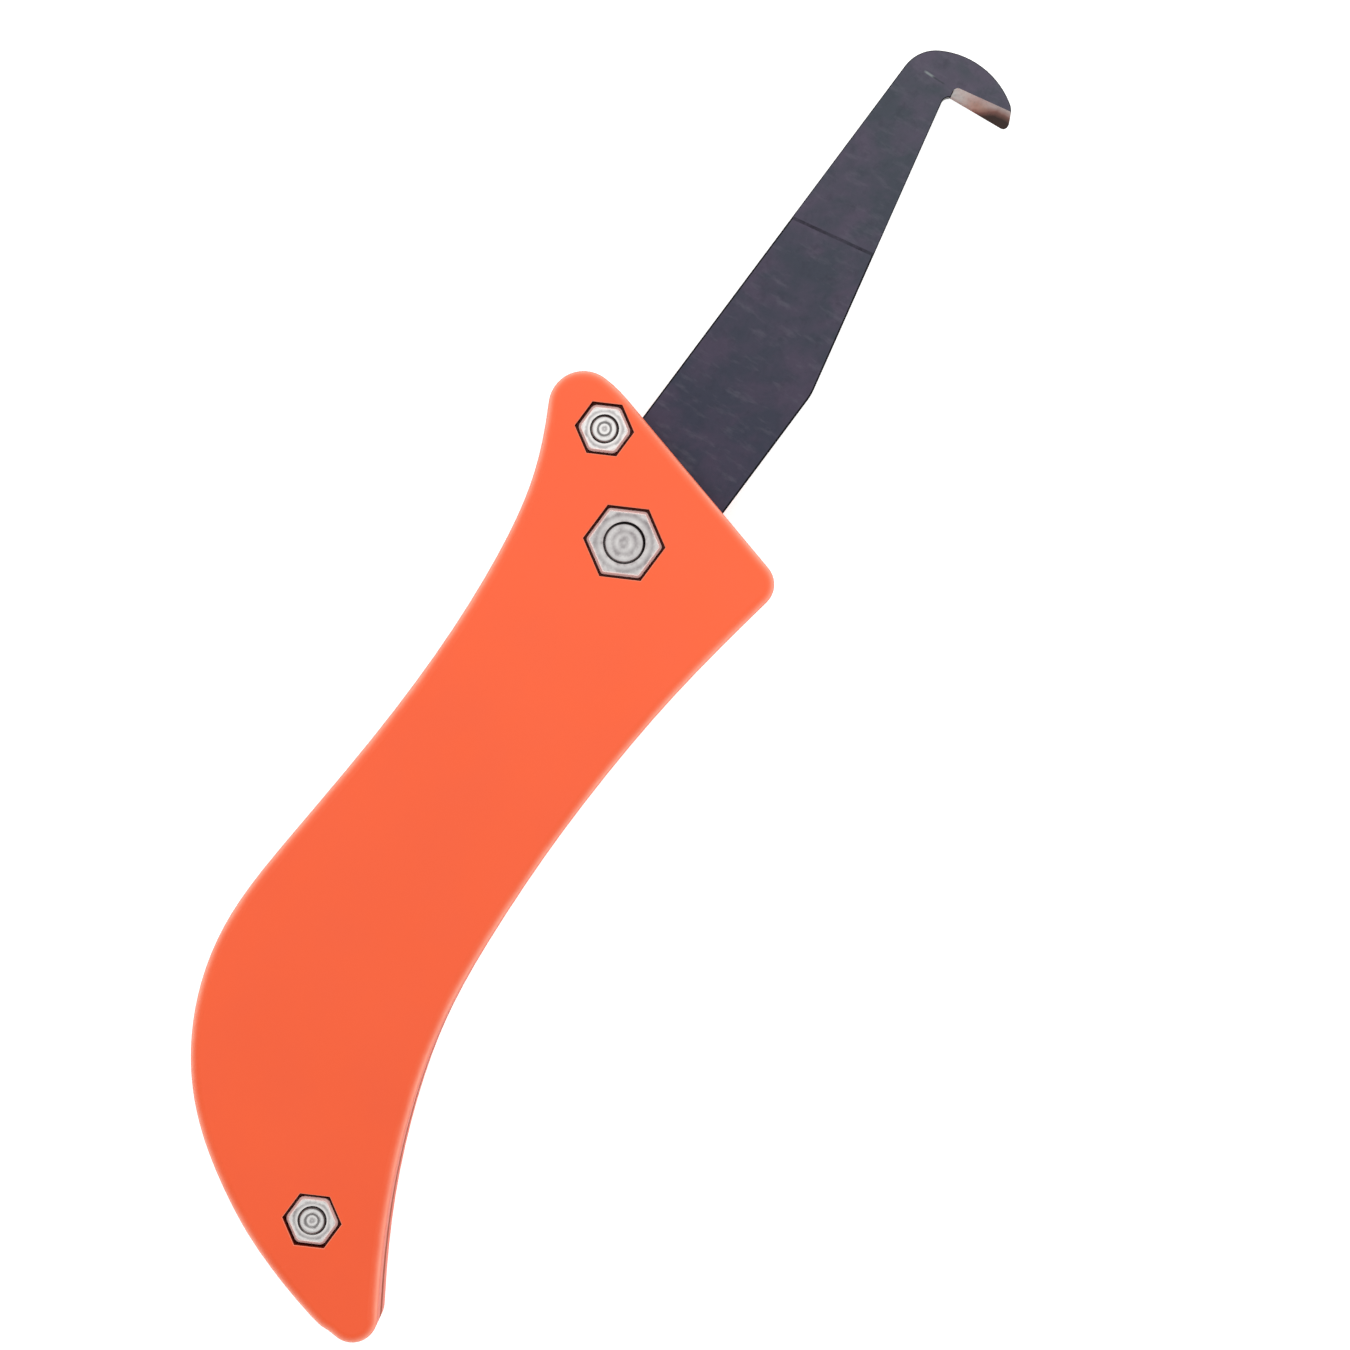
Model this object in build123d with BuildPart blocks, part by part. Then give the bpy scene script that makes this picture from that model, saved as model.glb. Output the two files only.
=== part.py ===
from build123d import *
import os
from math import cos, radians, sin

# Folding hook knife: two flat moulded scales bolted together, with a hook blade between them.
# Millimetres. +X runs from the tail of the handle towards the hook, +Y towards the convex back
# of the handle, and +Z out of the face that shows the nuts. The origin is under the middle of
# the open knife, on the outer face of the rear scale, which is the face it lies on.
# Outlines are drawn about the pivot, which is the only place that the pieces share.

# Where the bolts stand
PIVOT = (18.86, -2.16)      # pivot bolt, from the origin
PIVOT_BOLT = (0.0, 0.0)     # and from itself
STOP = (14.3, 9.85)         # stop bolt, from the pivot
TAIL = (-112.0, 0.0)        # tail bolt, from the pivot

# Layers, from the rear face upwards
SCALE = 7.0                 # thickness of each scale
SLOT = 3.5                  # gap between the scales
BLADE = 2.5                 # thickness of the blade
BLADE_PLAY = 0.05           # from the blade to each thrust washer
REAR_INNER = SCALE
FRONT_INNER = SCALE + SLOT
FACE = FRONT_INNER + SCALE
THRUST = (SLOT - BLADE) / 2 - BLADE_PLAY
BLADE_FLOOR = REAR_INNER + THRUST + BLADE_PLAY
BLADE_TOP = BLADE_FLOOR + BLADE

# Scales
EDGE_ROUND = 1.5            # outer rim of each scale
INNER_BREAK = 0.3           # chamfer beside the slot
SKIN = 2.2                  # plastic left outside the cores
WALL = 2.4                  # plastic left round the cores
RIB = 1.6
RIB_PITCH = 16.0
CORE_ROUND = 1.4
CORE_FRONT = -15.0          # cores lie between these two places along the handle
CORE_BACK = -102.0
PEG_RADIUS = 1.5
INSET_STEPS = 12
PEGS = ((-40.0, 15.8), (-76.0, 20.4))

# Blade
BLADE_ANGLE = -12.0         # of the open blade, from +X
FOLD_TRAVEL = 169.0
SPINE_SIDE = 9.38           # from the pivot to the spine
LOWER_SIDE = 9.13           # and to the lower edge of the strip
SPINE_END = 83.8            # along the blade, where the spine turns into the hook
BEND_Y = -16.25             # where the lower edge leaves the strip
THROAT = (82.6, -15.6)      # inner corner of the hook, from the pivot
TIP = (81.42, -26.7)        # end of the cutting edge, before its corner is rounded
STEP_X = 55.5               # beyond it the top of the blade is ground a little thinner
STEP_DEPTH = 0.12
STEP_RAMP = 0.5
BEVEL_START = -16.4         # along Y, where the ground bevel begins below the throat
BEVEL_END = -28.0
BEVEL_CREST = (84.2, 84.25) # along X, its top where it begins and where it ends
BEVEL_LAND = 0.12           # thickness left at the cutting edge
BEVEL_ROUND = 0.9
HOOK_REACH = 90.6
BLADE_BREAK = 0.25          # chamfer along both faces of the blade

# Bush and washers at the pivot
BUSH_RADIUS = 4.0
BUSH_BORE = 3.1
BEARING_PLAY = 0.05
THRUST_RADIUS = 8.0

# Fasteners: radius and pitch of the thread, radius of the dimple in its end, and the sizes of the rest
M6 = dict(radius=3.0, pitch=1.0, dimple=0.0, head=6.0, washer=6.1, washer_height=1.0)
M6.update(nut=10.0, nut_height=3.2, nut_corner=0.7)
M4 = dict(radius=2.0, pitch=0.7, dimple=1.15, head=4.0, washer=4.5, washer_height=0.8)
M4.update(nut=7.0, nut_height=3.2, nut_corner=1.1)
BOLTS = ((PIVOT_BOLT, M6), (STOP, M4), (TAIL, M4))
HEAD_HEIGHT = 3.1
HEAD_DEPTH = {6.0: 0.1, 4.0: 0.2}
BOLT_LENGTH = 14.0
HOLE_PLAY = 0.15
POCKET_PLAY = 0.4
POCKET_DEPTH = 3.6
MOUTH_BREAK = 0.1           # chamfer round the mouth of each nut pocket
COUNTERBORE_PLAY = 0.2
POCKET_FLOOR = FACE - POCKET_DEPTH
THREAD_PLAY = 0.05
NUT_BREAK = 0.35            # chamfer along the outer rims of each nut
THREAD_BREAK = 0.15         # and round its thread

SPACER_INSET = 0.8
SPACER_PLAY = 0.3           # from the folded blade to the spacer
HOOK_PLAY = 1.2             # from the folded hook to the solid end of the spacer
SPACER_FRONT = 8.0


def pivot_plane(height):
    """Level plane with its origin on the pivot axis."""
    return Plane((PIVOT[0], PIVOT[1], height))


def place(point):
    """Turn a point measured from the pivot into one measured from the origin."""
    return (PIVOT[0] + point[0], PIVOT[1] + point[1])


def is_round(rim, radius):
    return rim.geom_type == GeomType.CIRCLE and abs(rim.radius - radius) < 0.01


def upright_plane(point):
    """Plane along a bolt's axis: x is the distance from the axis, y is the height."""
    x, y = place(point)
    return Plane(origin=(x, y, 0), x_dir=(1, 0, 0), z_dir=(0, -1, 0))


def bolt_axis(point):
    x, y = place(point)
    return Axis((x, y, 0), (0, 0, 1))


def along_blade(distance, side, angle=BLADE_ANGLE):
    """A point measured along the blade and to its spine side, as one measured from the pivot."""
    turn = radians(angle)
    return (distance * cos(turn) - side * sin(turn), distance * sin(turn) + side * cos(turn))


def grip_outline():
    """Outline shared by both scales, drawn about the pivot."""
    guard = (4.15, -24.45)
    front = (19.85, 8.7)
    lobe = (21.4, 21.6)
    tail = (-129.25, -18.3)
    back = [lobe, (3, 16.63), (-10, 16.6), (-27, 18.8), (-44.4, 22.65), (-62, 27.45), (-78, 30.6)]
    belly = [(-92, 28.95), (-104, 23.05), (-113.5, 13.9), (-121.54, 2.0), (-125.85, -7.4), tail]
    palm = [tail, (-105.9, -9.74), (-92, -6.7), (-77, -5.4), (-62, -6.6), (-44, -9.6), (-22, -15.1), guard]
    with BuildSketch() as outline:
        with BuildLine():
            nose = Line(guard, front)
            TangentArc(front, lobe, tangent=nose % 1)
            Spline(back + belly, tangents=[(-0.939, -0.344), (-0.358, -0.934)])
            Spline(palm, tangents=[(0.921, 0.389), (0.932, -0.361)])
        make_face()
        for corner, radius in ((guard, 3.8), (lobe, 5.3), (tail, 3.8)):
            fillet(outline.vertices().sort_by_distance(corner)[0], radius)
    return outline.sketch


def inset(outline, amount):
    """Outline moved inwards, with its long curves drawn again as splines that STEP can hold."""
    ring = offset(outline, amount=-amount, kind=Kind.INTERSECTION, mode=Mode.PRIVATE)
    with BuildSketch() as smaller:
        with BuildLine():
            for edge in ring.edges():
                if edge.geom_type in (GeomType.LINE, GeomType.CIRCLE):
                    add(edge)
                else:
                    stations = [step / INSET_STEPS for step in range(INSET_STEPS + 1)]
                    Spline([edge @ station for station in stations], tangents=[edge % 0, edge % 1])
        make_face()
    return smaller.sketch


def core_outline(grip):
    """Pockets between ribs, which the moulding leaves open towards the slot."""
    ribs = [CORE_FRONT - RIB_PITCH * count for count in range(1, 6)]
    with BuildSketch() as cores:
        add(inset(grip, WALL))
        with Locations((CORE_FRONT, 0)):
            Rectangle(100, 120, align=(Align.MIN, Align.CENTER), mode=Mode.SUBTRACT)
        with Locations((CORE_BACK, 0)):
            Rectangle(100, 120, align=(Align.MAX, Align.CENTER), mode=Mode.SUBTRACT)
        with Locations(*[(rib, 0) for rib in ribs]):
            Rectangle(RIB, 120, mode=Mode.SUBTRACT)
        with Locations(PEGS[0], PEGS[1]):
            Circle(PEG_RADIUS + WALL, mode=Mode.SUBTRACT)
        fillet(cores.vertices(), CORE_ROUND)
    return cores.sketch


def hex_outline(width):
    with BuildSketch() as hexagon:
        RegularPolygon(width / 2, 6, major_radius=False, rotation=BLADE_ANGLE)
    return hexagon.sketch


def make_front_scale(grip, cores):
    with BuildPart() as scale:
        with BuildSketch(pivot_plane(FRONT_INNER)):
            add(grip)
        extrude(amount=SCALE)
        fillet(scale.faces().sort_by(Axis.Z)[-1].edges(), EDGE_ROUND)
        chamfer(scale.faces().sort_by(Axis.Z)[0].edges(), INNER_BREAK)
        with BuildSketch(pivot_plane(FRONT_INNER)):
            add(cores)
        extrude(amount=SCALE - SKIN, mode=Mode.SUBTRACT)
        for point, size in BOLTS:
            x, y = place(point)
            with BuildSketch(Plane((x, y, FRONT_INNER))):
                Circle(size["radius"] + HOLE_PLAY)
            extrude(amount=SCALE, mode=Mode.SUBTRACT)
            with BuildSketch(Plane((x, y, POCKET_FLOOR))):
                add(hex_outline(size["nut"] + 2 * POCKET_PLAY))
            extrude(amount=POCKET_DEPTH, mode=Mode.SUBTRACT)
            with BuildSketch(Plane((x, y, FACE))):
                add(hex_outline(size["nut"] + 2 * (POCKET_PLAY + MOUTH_BREAK)))
            extrude(amount=-MOUTH_BREAK, taper=45, mode=Mode.SUBTRACT)
    return scale


def make_rear_scale(grip, cores):
    with BuildPart() as scale:
        with BuildSketch(pivot_plane(0)):
            add(grip)
        extrude(amount=SCALE)
        fillet(scale.faces().sort_by(Axis.Z)[0].edges(), EDGE_ROUND)
        chamfer(scale.faces().sort_by(Axis.Z)[-1].edges(), INNER_BREAK)
        with BuildSketch(pivot_plane(SKIN)):
            add(cores)
        extrude(amount=SCALE - SKIN, mode=Mode.SUBTRACT)
        for point, size in BOLTS:
            x, y = place(point)
            depth = HEAD_DEPTH[size["head"]] + HEAD_HEIGHT + size["washer_height"]
            with BuildSketch(Plane((x, y, 0))):
                Circle(size["radius"] + HOLE_PLAY)
            extrude(amount=SCALE, mode=Mode.SUBTRACT)
            with BuildSketch(Plane((x, y, 0))):
                Circle(size["washer"] + COUNTERBORE_PLAY)
            extrude(amount=depth, mode=Mode.SUBTRACT)
        with BuildSketch(pivot_plane(REAR_INNER)):
            with Locations(PEGS[0], PEGS[1]):
                Circle(PEG_RADIUS)
        extrude(amount=SLOT - 2 * INNER_BREAK)
        chamfer(scale.faces().sort_by(Axis.Z)[-2:].edges(), INNER_BREAK)
    return scale


def make_back_spacer(grip):
    """Spine of the handle: it closes the back of the slot and stops the folded blade."""
    folded = BLADE_ANGLE - FOLD_TRAVEL
    reach = HOOK_REACH + HOOK_PLAY
    side = -(LOWER_SIDE + SPACER_PLAY)
    start = along_blade(-40, side, folded)
    end = along_blade((reach**2 - side**2) ** 0.5, side, folded)
    low = along_blade(reach, 0, folded + 22)
    middle = along_blade(reach, 0, folded + 8)
    with BuildPart() as spacer:
        with BuildSketch(pivot_plane(REAR_INNER)) as profile:
            add(inset(grip, SPACER_INSET))
            with BuildLine():
                Line(start, end)
                ThreePointArc(end, middle, low)
                Line(low, (start[0], -60))
                Line((start[0], -60), start)
            make_face(mode=Mode.SUBTRACT)
            with Locations((SPACER_FRONT, 0)):
                Rectangle(60, 120, align=(Align.MIN, Align.CENTER), mode=Mode.SUBTRACT)
            with Locations(PEGS[0], PEGS[1]):
                Circle(PEG_RADIUS + HOLE_PLAY, mode=Mode.SUBTRACT)
            with Locations(TAIL):
                Circle(M4["radius"] + HOLE_PLAY, mode=Mode.SUBTRACT)
        extrude(amount=SLOT)
    return spacer


def blade_outline():
    """A strip of one width, narrowed from below to a throat, with a hook across its end."""
    tang_low = along_blade(0, -LOWER_SIDE)
    tang_high = along_blade(0, SPINE_SIDE)
    tang_end = along_blade(-SPINE_SIDE, 0)
    bend = along_blade((BEND_Y - tang_low[1]) / sin(radians(BLADE_ANGLE)), -LOWER_SIDE)
    crown = (88.2, -12.0)
    beak = (84.75, -25.68)
    with BuildSketch() as outline:
        with BuildLine():
            spine = Line(tang_high, along_blade(SPINE_END, SPINE_SIDE))
            shoulder = TangentArc(spine @ 1, crown, tangent=spine % 1)
            TangentArc(crown, beak, tangent=shoulder % 1)
            Polyline(beak, TIP, THROAT, bend, tang_low)
            ThreePointArc(tang_low, tang_end, tang_high)
        make_face()
        for corner, radius in ((THROAT, 1.2), (TIP, 0.9), (beak, 3.0), (bend, 8.0)):
            fillet(outline.vertices().sort_by_distance(corner)[0], radius)
        Circle(BUSH_RADIUS + BEARING_PLAY, mode=Mode.SUBTRACT)
    return outline.sketch


def edge_x(station):
    """Where the cutting edge stands along X, at a place along Y."""
    return TIP[0] + (station - TIP[1]) * (THROAT[0] - TIP[0]) / (THROAT[1] - TIP[1])


def make_bevel_cutter():
    """What the grinding takes off above the cutting edge: wider towards the tip of the hook."""
    rise = BLADE_TOP - STEP_DEPTH - BLADE_FLOOR - BEVEL_LAND
    crests = []
    backs = []
    with BuildPart() as cutter:
        for station, crest in zip((BEVEL_START, BEVEL_END), BEVEL_CREST):
            edge = edge_x(station)
            x, y = place((0, station))
            with BuildSketch(Plane(origin=(x, y, BLADE_FLOOR), x_dir=(1, 0, 0), z_dir=(0, -1, 0))):
                Polygon(
                    (edge, BEVEL_LAND),
                    (2 * crest - edge, BEVEL_LAND + 2 * rise),
                    (2 * crest - edge, 3 * BLADE),
                    (edge - 1, 3 * BLADE),
                    (edge - 1, BEVEL_LAND),
                    align=None,
                )
            crests.append((crest, station))
            backs.append((edge - 1, station))
        loft(ruled=True)
        with BuildSketch(pivot_plane(BLADE_FLOOR)) as reach:
            Polygon(*crests, *reversed(backs), align=None)
            fillet(reach.vertices().sort_by_distance(crests[0])[0], BEVEL_ROUND)
        extrude(amount=4 * BLADE, mode=Mode.INTERSECT)
    return cutter


def make_hook_blade():
    cutter = make_bevel_cutter()
    with BuildPart() as blade:
        with BuildSketch(pivot_plane(BLADE_FLOOR)):
            add(blade_outline())
        extrude(amount=BLADE)
        rims = blade.faces().filter_by(Axis.Z).edges()
        bore_rims = rims.filter_by(lambda rim: is_round(rim, BUSH_RADIUS + BEARING_PLAY))
        x, y = place(((THROAT[0] + TIP[0]) / 2, (THROAT[1] + TIP[1]) / 2))
        edge_rims = rims.sort_by_distance((x, y, BLADE_FLOOR + BLADE / 2))[:2]
        chamfer(rims - bore_rims - edge_rims, BLADE_BREAK)
        with BuildSketch(upright_plane((0, 60))):
            Polygon(
                (STEP_X, BLADE_TOP),
                (STEP_X + STEP_RAMP, BLADE_TOP - STEP_DEPTH),
                (HOOK_REACH + 10, BLADE_TOP - STEP_DEPTH),
                (HOOK_REACH + 10, BLADE_TOP + 1),
                (STEP_X, BLADE_TOP + 1),
                align=None,
            )
        extrude(amount=120, mode=Mode.SUBTRACT)
        add(cutter.part, mode=Mode.SUBTRACT)
    return blade


def make_bolt(point, size):
    """Pan-head bolt, head down, with a cross recess, a ringed thread and a dimpled end."""
    radius = size["radius"]
    pitch = size["pitch"]
    head_floor = HEAD_DEPTH[size["head"]]
    head_top = head_floor + HEAD_HEIGHT
    end = head_top + BOLT_LENGTH
    groove = 0.5 * pitch
    point_break = 0.2
    dimple = size["dimple"]
    thread_start = POCKET_FLOOR - 1.5
    turns = int((end - thread_start - groove) / pitch)
    profile = [(0, head_floor), (size["head"], head_floor), (size["head"], head_top), (radius, head_top)]
    profile.append((radius, thread_start))
    for turn in range(turns):
        height = thread_start + turn * pitch
        profile += [(radius - groove, height + groove), (radius, height + pitch)]
    profile += [(radius, end - point_break), (radius - point_break, end), (dimple, end)]
    profile += [(0.7 * dimple, end - 0.25), (0, end - 0.25)] if dimple else []
    x, y = place(point)
    with BuildPart() as bolt:
        with BuildSketch(upright_plane(point)) as half:
            Polygon(*profile, align=None)
            fillet(half.vertices().sort_by_distance((size["head"], head_floor))[0], 0.3 * size["head"])
        revolve(axis=bolt_axis(point))
        with BuildSketch(Plane((x, y, head_floor))):
            Rectangle(1.05 * size["head"], 0.2 * size["head"])
            Rectangle(0.2 * size["head"], 1.05 * size["head"])
            Circle(0.2 * size["head"])
        extrude(amount=0.6 * HEAD_HEIGHT, mode=Mode.SUBTRACT)
    return bolt


def make_nut(point, size):
    """Pressed hexagon nut with rounded corners and broken rims."""
    x, y = place(point)
    with BuildPart() as nut:
        with BuildSketch(Plane((x, y, POCKET_FLOOR))):
            add(hex_outline(size["nut"]))
        extrude(amount=size["nut_height"])
        fillet(nut.edges().filter_by(Axis.Z), size["nut_corner"])
        chamfer(nut.faces().filter_by(Axis.Z).edges(), NUT_BREAK)
        with BuildSketch(Plane((x, y, POCKET_FLOOR))):
            Circle(size["radius"] + THREAD_PLAY)
        extrude(amount=size["nut_height"], mode=Mode.SUBTRACT)
        chamfer(nut.edges().filter_by(lambda rim: is_round(rim, size["radius"] + THREAD_PLAY)), THREAD_BREAK)
    return nut


def make_ring(point, floor, height, outer, inner):
    """Plain washer, bush or sleeve, with its outer edges broken."""
    x, y = place(point)
    with BuildPart() as ring:
        with BuildSketch(Plane((x, y, floor))):
            Circle(outer)
            Circle(inner, mode=Mode.SUBTRACT)
        extrude(amount=height)
        rims = ring.edges().filter_by(GeomType.CIRCLE).filter_by(lambda edge: edge.radius > inner + 0.1)
        chamfer(rims, min(0.2, 0.2 * height))
    return ring


def write(piece, label):
    piece.part.label = label
    export_step(piece.part, f"parts/{label}.step")


os.makedirs("parts", exist_ok=True)

grip = grip_outline()
cores = core_outline(grip)
write(make_front_scale(grip, cores), "front_scale")
write(make_rear_scale(grip, cores), "rear_scale")
write(make_back_spacer(grip), "back_spacer")
write(make_hook_blade(), "hook_blade")

for name, (point, size) in zip(("pivot", "stop", "tail"), BOLTS):
    washer_floor = HEAD_DEPTH[size["head"]] + HEAD_HEIGHT
    washer_bore = size["radius"] + HOLE_PLAY
    washer = make_ring(point, washer_floor, size["washer_height"], size["washer"], washer_bore)
    write(make_bolt(point, size), f"{name}_bolt")
    write(make_nut(point, size), f"{name}_nut")
    write(washer, f"{name}_head_washer")

thrust_bore = BUSH_RADIUS + 2 * BEARING_PLAY
write(make_ring(PIVOT_BOLT, REAR_INNER, SLOT, BUSH_RADIUS, BUSH_BORE), "pivot_bush")
write(make_ring(PIVOT_BOLT, REAR_INNER, THRUST, THRUST_RADIUS, thrust_bore), "pivot_washer_rear")
write(make_ring(PIVOT_BOLT, FRONT_INNER - THRUST, THRUST, THRUST_RADIUS, thrust_bore), "pivot_washer_front")

# The sleeve on the stop bolt is as thick as the room between that bolt and the open spine.
stop_turn = radians(BLADE_ANGLE)
stop_side = STOP[1] * cos(stop_turn) - STOP[0] * sin(stop_turn)
sleeve_radius = stop_side - SPINE_SIDE - BEARING_PLAY
write(make_ring(STOP, REAR_INNER, SLOT, sleeve_radius, M4["radius"] + HOLE_PLAY), "stop_sleeve")
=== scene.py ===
from math import radians, tau

import bpy
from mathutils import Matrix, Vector


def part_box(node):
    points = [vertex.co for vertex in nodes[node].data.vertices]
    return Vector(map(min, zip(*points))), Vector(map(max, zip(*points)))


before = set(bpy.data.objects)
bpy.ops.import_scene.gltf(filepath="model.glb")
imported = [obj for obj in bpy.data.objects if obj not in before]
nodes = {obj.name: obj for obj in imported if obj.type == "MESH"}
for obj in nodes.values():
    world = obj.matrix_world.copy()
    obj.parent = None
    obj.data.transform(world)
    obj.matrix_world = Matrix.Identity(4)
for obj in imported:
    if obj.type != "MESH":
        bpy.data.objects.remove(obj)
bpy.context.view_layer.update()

# Places read from the frame, in metres
blade_low, blade_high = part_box("hook_blade")
grip_low, grip_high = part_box("front_scale")
pivot_low, pivot_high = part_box("pivot_bolt")
PIVOT = (pivot_low + pivot_high) / 2
FACE_Z = grip_high.z

# Where painted shade sits on the handle: in the nut pockets and the slot between the scales
POCKET_MARGIN = 0.00085     # past half a nut's width, to take in its pocket
POCKET_SHADE_STARTS = 0.00012       # below the face
POCKET_SHADE_FULL = 0.0005          # below the face
SLOT_SHADE_ENDS = 0.0006     # outwards from a scale's inner face
SLOT_SHADE_FULL = 0.0002     # outwards from a scale's inner face

BLADE_ANGLE = 12            # degrees that the blade points below the X axis

# The ground bevel, from the corner of the blade's box at its hook: most X and least Y
BEVEL_ACROSS = 0.0085
BEVEL_UP = 0.0098
THROAT_UP = 0.0095          # where the bevel's painted reflection is palest
TIP_UP = 0.0005             # where the bevel's painted reflection is darkest
EDGE_BACK = 0.00747         # from the corner back to the cutting edge, at the edge's lowest point
EDGE_SLOPE = 0.106          # how far the edge moves in X for each metre in Y

# Painted shade and turning rings, which also paint glints, on the bolts and nuts
RING_PITCH = 0.42           # a share of the thread's radius
# the side where the painted shadow in the bolt's groove is darkest
SHADOW_SIDE = (0.94, -0.35, 0)

# The camera looks straight down, from so far above the table and so far from the pivot
CAMERA_HEIGHT = 0.610
CAMERA_FROM_PIVOT = (-0.01482, -0.01522)
CAMERA_LEAN = -65.27        # degrees about Z
FRAME_WIDTH = 0.2025        # at the height of the handle's face
SENSOR_WIDTH = 36           # millimetres

FLOOR_HALF_WIDTH = 3.0
FLOOR_GAP = 0.00002         # keeps the floor clear of the underside


# ---------------------------------------------------------------- shader helpers
class Shader:
    """A Principled material with short ways to add the texture nodes that drive it."""

    def __init__(self, name, **settings):
        self.material = bpy.data.materials.new(name)
        self.material.use_nodes = True
        self.tree = self.material.node_tree
        self.surface = self.tree.nodes["Principled BSDF"]
        for socket, value in settings.items():
            self.surface.inputs[socket.replace("_", " ")].default_value = value
        self.place = self.tree.nodes.new("ShaderNodeTexCoord").outputs["Object"]

    def new(self, kind, inputs=None, **properties):
        node = self.tree.nodes.new(kind)
        for key, value in properties.items():
            setattr(node, key, value)
        for socket, value in (inputs or {}).items():
            self.feed(value, node.inputs[socket])
        return node

    def feed(self, value, socket):
        if isinstance(value, bpy.types.NodeSocket):
            self.tree.links.new(value, socket)
        else:
            socket.default_value = value

    def drive(self, socket, value):
        self.feed(value, self.surface.inputs[socket])

    def stretched(self, scale=(1, 1, 1), turn=0.0, centre=(0, 0, 0)):
        """Object coordinates about a centre, turned about Z by some degrees and scaled."""
        shifted = self.new("ShaderNodeVectorMath", {0: self.place, 1: centre}, operation="SUBTRACT")
        turned = self.new(
            "ShaderNodeMapping",
            {"Vector": shifted.outputs[0], "Rotation": (0, 0, radians(turn))},
            vector_type="POINT",
        )
        scaled = self.new("ShaderNodeVectorMath", {0: turned.outputs[0], 1: scale}, operation="MULTIPLY")
        return scaled.outputs[0]

    def noise(self, size, where=None, detail=3.0, rough=0.55, twist=0.0):
        """Cloudy pattern from 0 to 1 whose patches are about that many metres across."""
        inputs = {
            "Vector": where or self.place,
            "Scale": 1 / size,
            "Detail": detail,
            "Roughness": rough,
            "Distortion": twist,
        }
        return self.new("ShaderNodeTexNoise", inputs).outputs["Fac"]

    def span(self, value, low, high, to_low=0.0, to_high=1.0):
        """Moves the range low..high to to_low..to_high, and holds it there."""
        inputs = {"Value": value, "From Min": low, "From Max": high, "To Min": to_low, "To Max": to_high}
        return self.new("ShaderNodeMapRange", inputs, clamp=True).outputs["Result"]

    def calc(self, operation, first, second=0.0, clamp=False):
        inputs = {0: first, 1: second}
        return self.new("ShaderNodeMath", inputs, operation=operation, use_clamp=clamp).outputs[0]

    def mix(self, factor, first, second, blend="MIX"):
        node = self.new("ShaderNodeMix", data_type="RGBA", blend_type=blend)
        for name, value in (("Factor_Float", factor), ("A_Color", first), ("B_Color", second)):
            socket = next(s for s in node.inputs if s.identifier == name)
            self.feed(value, socket)
        return next(s for s in node.outputs if s.identifier == "Result_Color")

    def place_normal(self):
        """The direction of the surface, in the object's own axes."""
        return self.tree.nodes["Texture Coordinate"].outputs["Normal"]

    def part(self, vector, axis):
        return self.new("ShaderNodeSeparateXYZ", {0: vector}).outputs[axis]

    def edges(self, radius):
        """About 1 along sharp or slightly rounded edges and 0 on flat faces."""
        soft = self.new("ShaderNodeBevel", {"Radius": radius}, samples=6).outputs[0]
        plain = self.new("ShaderNodeNewGeometry").outputs["Normal"]
        inputs = {0: soft, 1: plain}
        alike = self.new("ShaderNodeVectorMath", inputs, operation="DOT_PRODUCT").outputs["Value"]
        return self.span(alike, 0.998, 0.94)

    def leaning(self, flat, steep):
        """From 0 on faces as level as the first number to 1 on faces as steep as the second."""
        level = self.calc("ABSOLUTE", self.part(self.place_normal(), "Z"))
        return self.span(level, flat, steep)

    def bump(self, height, depth, strength=1.0, under=None):
        inputs = {"Height": height, "Distance": depth, "Strength": strength}
        if under:
            inputs["Normal"] = under
        return self.new("ShaderNodeBump", inputs).outputs[0]


def colour(red, green, blue):
    """Linear colour from display values of 0 to 255."""
    def linear(value):
        value /= 255
        return value / 12.92 if value <= 0.04045 else ((value + 0.055) / 1.055) ** 2.4
    return (linear(red), linear(green), linear(blue), 1.0)


# ---------------------------------------------------------------- materials
def nut_pockets(shader):
    """1 inside the nut pockets, below the face, and 0 elsewhere."""
    inside = 0.0
    for name in ("pivot_nut", "stop_nut", "tail_nut"):
        low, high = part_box(name)
        about = shader.stretched((1, 1, 0), centre=((low.x + high.x) / 2, (low.y + high.y) / 2, 0))
        reach = shader.new("ShaderNodeVectorMath", {0: about}, operation="LENGTH").outputs["Value"]
        pocket = (high.x - low.x) / 2 + POCKET_MARGIN
        inside = shader.calc("ADD", inside, shader.calc("LESS_THAN", reach, pocket))
    height = shader.part(shader.place, "Z")
    below = shader.span(height, FACE_Z - POCKET_SHADE_STARTS, FACE_Z - POCKET_SHADE_FULL)
    return shader.calc("MULTIPLY", inside, below)


def slot_sides(shader):
    """Where the slot between the scales gets painted shade: 1 on the inner faces of the scales and the
    chamfers beside them, and 0 on the outer walls.
    """
    middle = FACE_Z / 2
    away = shader.calc("ABSOLUTE", shader.calc("SUBTRACT", shader.part(shader.place, "Z"), middle))
    inner = grip_low.z - middle
    return shader.span(away, inner + SLOT_SHADE_ENDS, inner + SLOT_SHADE_FULL)


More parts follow.
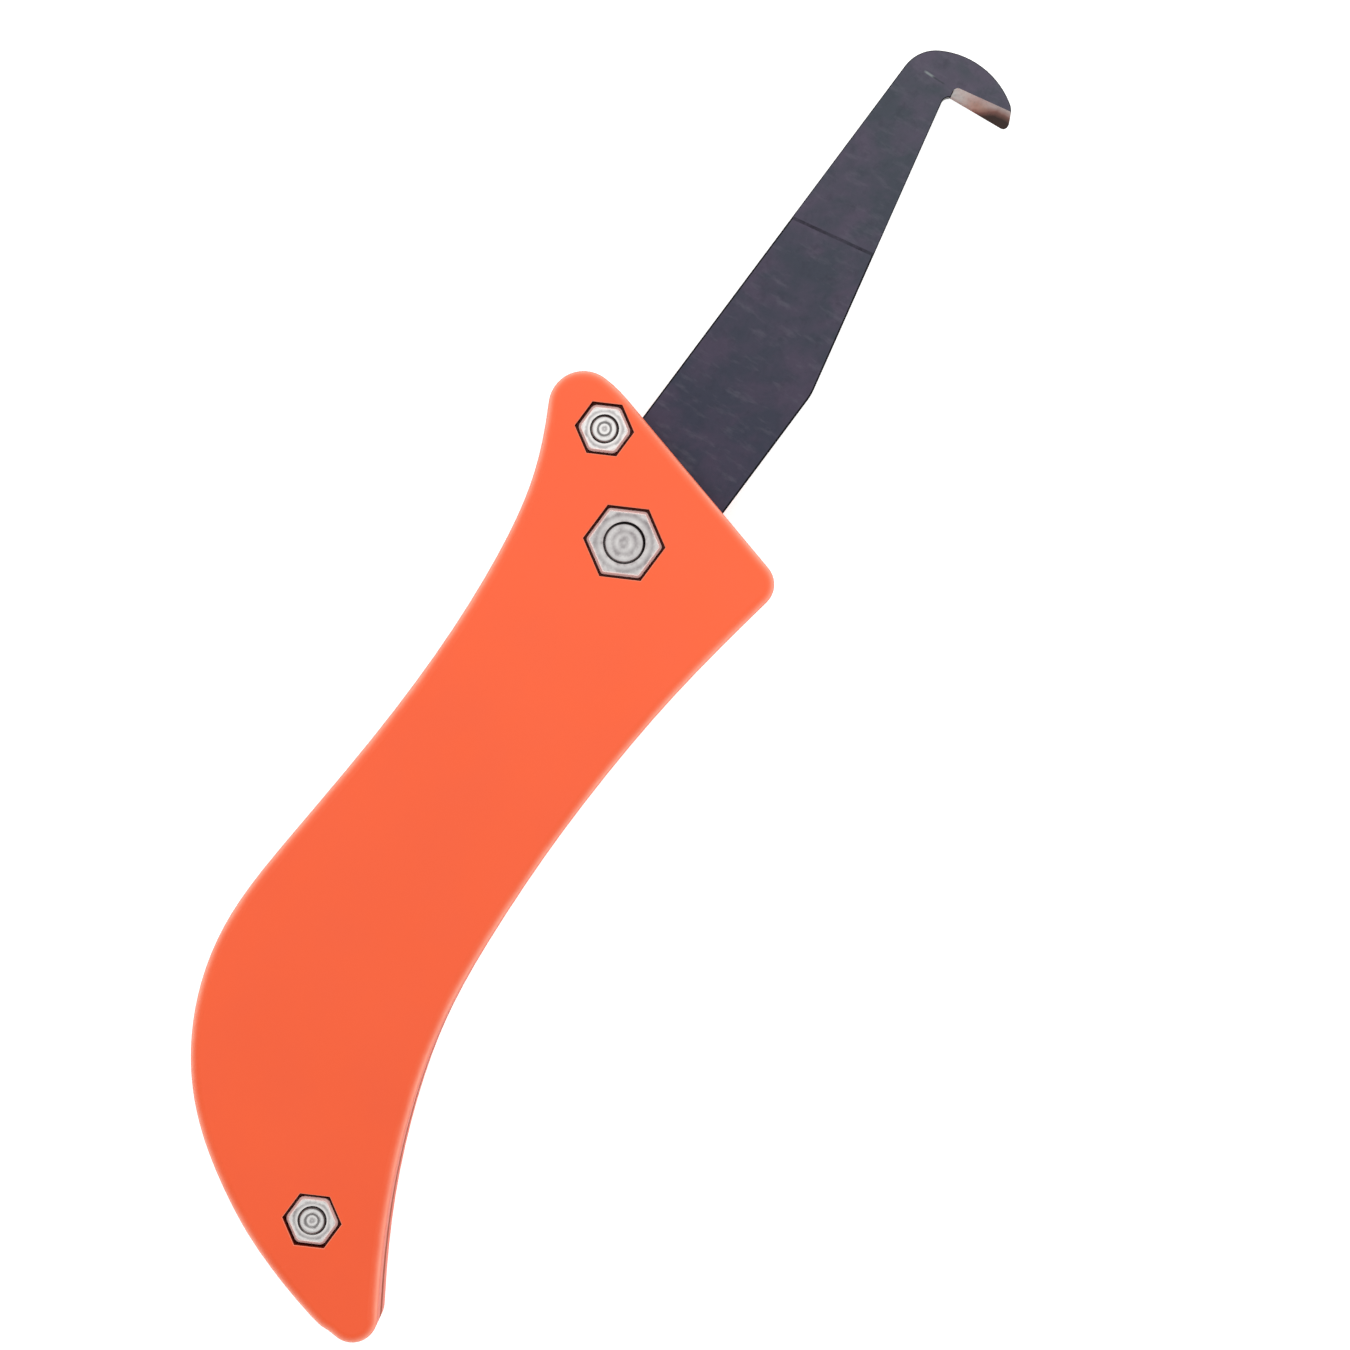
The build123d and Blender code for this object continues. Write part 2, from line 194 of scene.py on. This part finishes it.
def grip_plastic():
    """Satin orange moulding: faint clouds, a fine grain and light scuffs, painted light paler towards the
    hook, painted highlights on the rims, and painted shade on the side walls, in the slot and in the nut
    pockets.
    """
    shader = Shader("grip_plastic", IOR=1.45, Roughness=0.5)
    clouds = shader.noise(0.045, detail=2.0)
    patches = shader.noise(0.009, detail=4.0)
    tint = shader.calc("ADD", shader.calc("MULTIPLY", clouds, 0.6), shader.calc("MULTIPLY", patches, 0.4))
    # Painted light: the orange is drawn deeper at the tail and paler towards the hook, where the lamp falls.
    lit_toward_hook = shader.span(shader.part(shader.place, "X"), grip_low.x, grip_high.x)
    deep = shader.mix(lit_toward_hook, colour(225, 76, 23), colour(237, 86, 33))
    pale = shader.mix(lit_toward_hook, colour(230, 81, 27), colour(242, 91, 38))
    body = shader.mix(shader.span(tint, 0.35, 0.65), deep, pale)
    scuffs = shader.noise(0.0011, shader.stretched((0.12, 1, 1), turn=38), detail=6.0, rough=0.7)
    scuffed = shader.span(scuffs, 0.68, 0.8, 0.0, 0.2)
    body = shader.mix(scuffed, body, colour(240, 108, 68))
    # Painted highlight: a patchy pale pink on the rounded rims of the face.
    painted_rim = shader.calc("MULTIPLY", shader.leaning(0.999, 0.62), shader.leaning(0.1, 0.5))
    rim_highlight = shader.calc("MULTIPLY", painted_rim, shader.span(patches, 0.3, 0.7, 0.45, 0.72))
    body = shader.mix(rim_highlight, body, colour(250, 168, 142))
    # Painted shade: the steep side walls are drawn darker and browner.
    wall_shade = shader.calc("MULTIPLY", shader.leaning(0.4, 0.1), 0.3)
    body = shader.mix(wall_shade, body, colour(168, 74, 54))
    # Painted shade: the slot between the scales is drawn dark brown.
    body = shader.mix(shader.calc("MULTIPLY", slot_sides(shader), 0.6), body, colour(84, 28, 16))
    # Painted shade: the nut pockets are drawn dark maroon below the face.
    pocket_shade = shader.calc("MULTIPLY", nut_pockets(shader), 0.75)
    shader.drive("Base Color", shader.mix(pocket_shade, body, colour(92, 12, 5)))
    shader.drive("Roughness", shader.span(patches, 0.2, 0.8, 0.44, 0.54))
    waves = shader.bump(clouds, 0.0004, 0.2)
    grain = shader.noise(0.00035, detail=2.0)
    shader.drive("Normal", shader.bump(grain, 0.00001, 0.3, waves))
    return shader.material


def spacer_plastic():
    """Dull near-black moulding with faint clouds and a fine grain."""
    shader = Shader("spacer_plastic", IOR=1.5, Roughness=0.5)
    patches = shader.noise(0.004, detail=4.0)
    shader.drive("Base Color", shader.mix(patches, colour(30, 29, 30), colour(46, 44, 44)))
    shader.drive("Roughness", shader.span(patches, 0.2, 0.8, 0.42, 0.6))
    shader.drive("Normal", shader.bump(shader.noise(0.0004), 0.00001, 0.4))
    return shader.material


def blackened_steel():
    """Blue-black oxide in green and purple patches, painted paler towards the hook, with painted shade on its
    steep edges and along the step, a scratch, and a bare bevel with a painted reflection.
    """
    shader = Shader("blackened_steel", Metallic=1.0, IOR=2.3)
    along = shader.stretched(turn=BLADE_ANGLE, centre=PIVOT)
    clouds = shader.noise(0.008, detail=5.0, rough=0.65)
    patches = shader.noise(0.0045, shader.stretched((1, 0.6, 1), turn=-30), detail=3.0, twist=0.6)
    streaks = shader.noise(0.0013, shader.stretched((1, 0.3, 1), turn=6), detail=4.0, rough=0.6)
    mottle = shader.noise(0.0022, detail=6.0, rough=0.7)
    # Painted light: the oxide is drawn paler towards the hook, where the lamp falls.
    reach = shader.span(shader.part(along, "X"), 0.02, 0.09)
    purple = shader.mix(reach, colour(60, 55, 68), colour(73, 69, 80))
    green = shader.mix(reach, colour(51, 52, 63), colour(61, 65, 71))
    blend = shader.calc("ADD", shader.calc("MULTIPLY", clouds, 0.5), shader.calc("MULTIPLY", patches, 0.5))
    oxide = shader.mix(shader.span(blend, 0.42, 0.58), green, purple)
    oxide = shader.mix(shader.span(streaks, 0.54, 0.78, 0.0, 0.4), oxide, colour(88, 86, 95))
    oxide = shader.mix(shader.span(mottle, 0.5, 0.3, 0.0, 0.35), oxide, colour(36, 35, 42))
    # Painted shade along the ramp of the step.
    oxide = shader.mix(step_shade(shader, mottle), oxide, colour(28, 27, 32))
    bright = scratch(shader, (-0.00452, 0.0152), (-0.00482, 0.0132), 0.00026)
    oxide = shader.mix(bright, oxide, colour(122, 130, 128))
    dull = scratch(shader, (-0.00476, 0.0138), (-0.0051, 0.0114), 0.00018)
    oxide = shader.mix(dull, oxide, colour(44, 50, 52))
    bevel, bare = ground_bevel(shader)
    surface = shader.mix(bevel, oxide, bare)
    # Painted shade: the blade's steep edge faces are drawn near black.
    painted_rim = shader.calc("MULTIPLY", shader.leaning(0.96, 0.85), shader.calc("SUBTRACT", 1.0, bevel, True))
    shader.drive("Base Color", shader.mix(painted_rim, surface, colour(18, 17, 20)))
    coat = shader.span(mottle, 0.3, 0.75, 0.4, 0.52)
    shader.drive("Roughness", shader.calc("SUBTRACT", coat, shader.calc("MULTIPLY", bevel, 0.14)))
    lumps = shader.bump(streaks, 0.00005, 0.15)
    shader.drive("Normal", shader.bump(mottle, 0.00001, 0.4, lumps))
    return shader.material


def step_shade(shader, mottle):
    """Painted shade: a dark line on the shallow ramp of the step across the blade, which leans towards the
    hook.
    """
    lean = shader.part(shader.place_normal(), "X")
    ramp = shader.calc("MULTIPLY", shader.span(lean, 0.1, 0.2), shader.span(lean, 0.4, 0.3))
    top = shader.span(shader.part(shader.place_normal(), "Z"), 0.9, 0.95)
    broken = shader.span(mottle, 0.35, 0.65, 0.8, 0.15)
    return shader.calc("MULTIPLY", shader.calc("MULTIPLY", ramp, top), broken)


def scratch(shader, start, end, width):
    """A line between two places, each measured from the corner of the blade's box at its hook."""
    corner = Vector((blade_high.x, blade_low.y, 0))
    first = Vector((*start, 0)) + corner
    last = Vector((*end, 0)) + corner
    run = last - first
    inputs = {0: shader.place, 1: tuple(first)}
    away = shader.new("ShaderNodeVectorMath", inputs, operation="SUBTRACT").outputs[0]
    inputs = {0: away, 1: tuple(run.normalized())}
    travel = shader.new("ShaderNodeVectorMath", inputs, operation="DOT_PRODUCT").outputs["Value"]
    inputs[1] = tuple(Vector((-run.y, run.x, 0)).normalized())
    aside = shader.new("ShaderNodeVectorMath", inputs, operation="DOT_PRODUCT").outputs["Value"]
    near = shader.span(shader.calc("ABSOLUTE", aside), width, 0.2 * width)
    begun = shader.span(travel, 0, 2 * width)
    ended = shader.span(travel, run.length, run.length - 2 * width, 0.0, 0.6)
    return shader.calc("MULTIPLY", near, shader.calc("MULTIPLY", begun, ended))


def ground_bevel(shader):
    """Where the ground bevel is, and its colour: bare steel with a painted reflection, palest at the throat
    and brown and dark at the tip.
    """
    normal = shader.place_normal()
    x = shader.part(shader.place, "X")
    y = shader.part(shader.place, "Y")
    faces_back = shader.calc("LESS_THAN", shader.part(normal, "X"), -0.3)
    tilted = shader.calc("GREATER_THAN", shader.part(normal, "Z"), 0.3)
    flank = shader.calc("GREATER_THAN", x, blade_high.x - BEVEL_ACROSS)
    below = shader.calc("LESS_THAN", y, blade_low.y + BEVEL_UP)
    inside = shader.calc("MULTIPLY", faces_back, tilted)
    inside = shader.calc("MULTIPLY", inside, shader.calc("MULTIPLY", flank, below))
    up = shader.calc("SUBTRACT", y, blade_low.y)
    edge = shader.calc("ADD", shader.calc("MULTIPLY", up, EDGE_SLOPE), blade_high.x - EDGE_BACK)
    from_edge = shader.calc("SUBTRACT", x, edge)
    down = shader.span(up, THROAT_UP, TIP_UP)
    # Painted reflection across the hollow grind: paler towards the crest, paler still at the throat, and
    # darker and browner towards the tip.
    crest = shader.mix(shader.span(from_edge, 0.0012, 0.002), colour(184, 158, 146), colour(190, 175, 172))
    bare = shader.mix(shader.span(down, 0.12, 0.42), colour(204, 210, 208), crest)
    lines = shader.noise(0.0004, shader.stretched((0.08, 1, 1)), detail=4.0)
    bare = shader.mix(shader.span(lines, 0.45, 0.7, 0.0, 0.2), bare, colour(128, 110, 106))
    dark_tip_reach = shader.span(down, 0.36, 0.78, -0.0004, 0.0017)
    wander = shader.span(shader.noise(0.0014, detail=3.0), 0.3, 0.7, -0.0001, 0.0001)
    inner = shader.calc("ADD", shader.calc("SUBTRACT", from_edge, dark_tip_reach), wander)
    dark_tip = shader.span(inner, 0.0008, -0.0006)
    bare = shader.mix(shader.span(dark_tip, 0.0, 0.55), bare, colour(142, 106, 98))
    return inside, shader.mix(shader.span(dark_tip, 0.4, 1.0), bare, colour(72, 61, 58))


def turned_metal(name, pale, dark, roughness):
    """Plain turned metal with faint clouds."""
    shader = Shader(name, Metallic=1.0, Roughness=roughness)
    patches = shader.noise(0.0018, detail=5.0, rough=0.65)
    shader.drive("Base Color", shader.mix(shader.span(patches, 0.3, 0.72), dark, pale))
    shader.drive("Roughness", shader.span(patches, 0.25, 0.75, roughness - 0.06, roughness + 0.1))
    shader.drive("Normal", shader.bump(shader.noise(0.0005, detail=4.0), 0.00001, 0.5))
    return shader.material


def zinc_steel(name, bolt_box, shine, rings_and_glints, shade_limit):
    """Zinc plate with turning rings about the bolt that also paint glints, painted highlights on pale rims,
    and painted shade where the bolt meets the nut, darkest on one side as a painted shadow.

    The last three numbers say how pale it is, how strong its rings and painted glints are and how dark its
    painted shade gets.
    """
    low, high = bolt_box
    centre = (low + high) / 2
    shader = Shader(name)
    about = shader.stretched(centre=(centre.x, centre.y, centre.z))
    flat = shader.new("ShaderNodeVectorMath", {0: about, 1: (1, 1, 0)}, operation="MULTIPLY").outputs[0]
    reach = shader.new("ShaderNodeVectorMath", {0: flat}, operation="LENGTH").outputs["Value"]
    outward = shader.new("ShaderNodeVectorMath", {0: flat}, operation="NORMALIZE").outputs[0]
    inputs = {0: outward, 1: SHADOW_SIDE}
    side = shader.new("ShaderNodeVectorMath", inputs, operation="DOT_PRODUCT").outputs["Value"]
    thread = (high.x - low.x) / 4
    patches = shader.noise(0.0016, detail=5.0, rough=0.65)
    wander = shader.calc("ADD", reach, shader.calc("MULTIPLY", patches, 0.0009))
    # The turning rings are partly real marks and partly painted glints.
    wave = shader.calc("SINE", shader.calc("MULTIPLY", wander, tau / (RING_PITCH * thread)))
    cloudy = shader.span(patches, 0.3, 0.72, shine, shine + 0.6)
    tone = shader.calc("ADD", cloudy, shader.calc("MULTIPLY", wave, rings_and_glints), True)
    surface = shader.mix(tone, colour(112, 107, 108), colour(188, 186, 184))
    gap = shader.calc("ABSOLUTE", shader.calc("SUBTRACT", reach, thread))
    # Painted highlight: pale pink rims on the chamfers and edges, away from the bolt's groove.
    border = shader.calc("MAXIMUM", shader.leaning(0.98, 0.85), shader.edges(0.0004))
    painted_rim = shader.calc("MULTIPLY", border, shader.span(shader.calc("SUBTRACT", reach, thread), 0.0002, 0.0006))
    surface = shader.mix(painted_rim, surface, colour(236, 204, 198))
    lit = shader.span(side, -0.5, 0.9)
    width = shader.calc("ADD", shader.calc("MULTIPLY", lit, 0.00022), 0.00008)
    # Painted shade in the groove where the bolt meets the nut, with a painted shadow on one side.
    groove_shade = shader.calc("SUBTRACT", 1.0, shader.calc("DIVIDE", gap, width), True)
    strength = shader.span(lit, 0.0, 0.8, 0.4 * shade_limit, shade_limit)
    painted_groove_shade = shader.calc("MULTIPLY", shader.span(groove_shade, 0.0, 0.5), strength)
    shader.drive("Base Color", shader.mix(painted_groove_shade, surface, colour(46, 42, 44)))
    shader.drive("Metallic", shader.calc("SUBTRACT", 1.0, shader.calc("MULTIPLY", painted_rim, 0.75)))
    shader.drive("Roughness", shader.span(patches, 0.25, 0.75, 0.3, 0.44))
    shader.drive("Normal", shader.bump(tone, 0.00002, 0.4))
    return shader.material


# ---------------------------------------------------------------- dress the CAD nodes
orange = grip_plastic()
black = spacer_plastic()
blade_steel = blackened_steel()
bronze = turned_metal("bearing_bronze", colour(196, 158, 104), colour(150, 112, 66), 0.38)
steel = turned_metal("plain_steel", colour(168, 168, 168), colour(120, 120, 122), 0.3)

looks = {
    "front_scale": orange,
    "rear_scale": orange,
    "back_spacer": black,
    "hook_blade": blade_steel,
    "pivot_washer_front": bronze,
    "pivot_washer_rear": bronze,
    "pivot_bush": steel,
    "stop_sleeve": steel,
}
for place in ("pivot", "stop", "tail"):
    shine, rings_and_glints, shade_limit = (0.1, 0.15, 0.9) if place == "pivot" else (0.42, 0.28, 0.6)
    zinc = zinc_steel(f"zinc_{place}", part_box(f"{place}_bolt"), shine, rings_and_glints, shade_limit)
    for kind in ("bolt", "nut", "head_washer"):
        looks[f"{place}_{kind}"] = zinc
for name, material in looks.items():
    nodes[name].material_slots[0].material = material


# ---------------------------------------------------------------- floor, light and camera
def add_floor():
    mesh = bpy.data.meshes.new("floor")
    signs = ((-1, -1), (1, -1), (1, 1), (-1, 1))
    reach = FLOOR_HALF_WIDTH
    corners = [(x * reach, y * reach, -FLOOR_GAP) for x, y in signs]
    mesh.from_pydata(corners, [], [(0, 1, 2, 3)])
    floor = bpy.data.objects.new("floor", mesh)
    bpy.context.scene.collection.objects.link(floor)
    shader = Shader("floor_paper", Roughness=0.9)
    shader.drive("Base Color", (0.8, 0.8, 0.8, 1))
    shader.drive("Emission Color", (1, 1, 0.99, 1))
    shader.drive("Emission Strength", 0.6)
    mesh.materials.append(shader.material)


def add_light(name, place, target, size, power):
    lamp = bpy.data.lights.new(name, "AREA")
    lamp.shape = "DISK"
    lamp.size = size
    lamp.energy = power
    light = bpy.data.objects.new(name, lamp)
    light.location = place
    light.rotation_euler = (Vector(target) - Vector(place)).to_track_quat("-Z", "Y").to_euler()
    bpy.context.scene.collection.objects.link(light)


def add_world(strength):
    world = bpy.data.worlds.new("studio")
    world.use_nodes = True
    background = world.node_tree.nodes["Background"]
    background.inputs["Color"].default_value = (1.0, 1.0, 1.0, 1)
    background.inputs["Strength"].default_value = strength
    bpy.context.scene.world = world


def add_camera():
    """Straight down on the face, with the tool standing up to the right."""
    camera_data = bpy.data.cameras.new("camera")
    camera_data.sensor_width = SENSOR_WIDTH
    camera_data.lens = SENSOR_WIDTH * (CAMERA_HEIGHT - FACE_Z) / FRAME_WIDTH
    camera_data.clip_start = 0.01
    camera = bpy.data.objects.new("camera", camera_data)
    east, north = CAMERA_FROM_PIVOT
    camera.location = (PIVOT.x + east, PIVOT.y + north, CAMERA_HEIGHT)
    camera.rotation_euler = (0, 0, radians(CAMERA_LEAN))
    bpy.context.scene.collection.objects.link(camera)
    bpy.context.scene.camera = camera


add_floor()
add_world(0.75)
add_light("key", (0.25, 0.08, 0.85), (0, 0, 0), 1.2, 4.8)
add_camera()
bpy.context.scene.view_settings.view_transform = "Standard"
